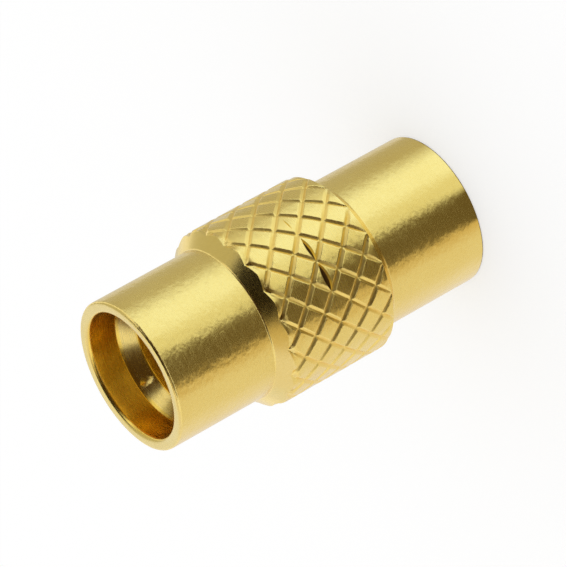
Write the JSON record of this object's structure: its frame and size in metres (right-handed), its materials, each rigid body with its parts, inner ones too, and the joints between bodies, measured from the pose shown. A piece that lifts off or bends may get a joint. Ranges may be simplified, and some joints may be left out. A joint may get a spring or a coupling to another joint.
{
  "type": "coaxial adapter",
  "caption": "Short gold-plated barrel with a diamond-knurled collar that joins two push-fit coaxial plugs end to end.",
  "frame": {"origin": "centre of the lower rim, on the surface that the adapter stands on", "axes": "+Z along the adapter's axis, out of the upper jack"},
  "size_m": [0.006, 0.006, 0.0119],
  "materials": {
    "body_plating": "satin gold plating on turned brass",
    "contact_plating": "bright gold plating on a turned spring-alloy contact",
    "insulator": "plain turned white fluoropolymer"
  },
  "bodies": {
    "root": {"body": "body_plating", "centre_contact": "contact_plating", "upper_insulator": "insulator", "lower_insulator": "insulator"}
  },
  "joints": []
}
